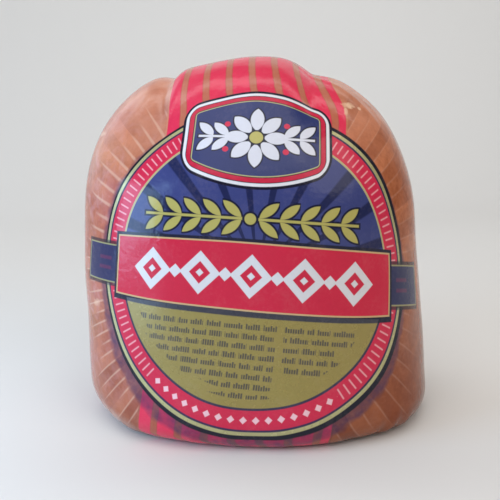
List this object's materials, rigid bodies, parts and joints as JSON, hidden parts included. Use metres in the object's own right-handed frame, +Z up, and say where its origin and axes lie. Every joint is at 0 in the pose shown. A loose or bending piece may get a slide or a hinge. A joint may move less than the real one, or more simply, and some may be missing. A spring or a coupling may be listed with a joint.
{
  "type": "packed ham",
  "caption": "Upright whole moulded ham in closely fitting printed film, with a flat foot and a domed crown.",
  "frame": {"origin": "on the floor, under the middle of the pack's bounding box", "axes": "+Z up through the crown, -Y the way the round label faces, +X to the label's right as it is read"},
  "size_m": [0.121, 0.0868, 0.1234],
  "materials": {
    "printed_film": "opaque shrunk food film, printed in tan, red, navy, blue and dull gold, with a soft gloss"
  },
  "bodies": {
    "root": {"ham_pack": "printed_film"}
  },
  "joints": []
}
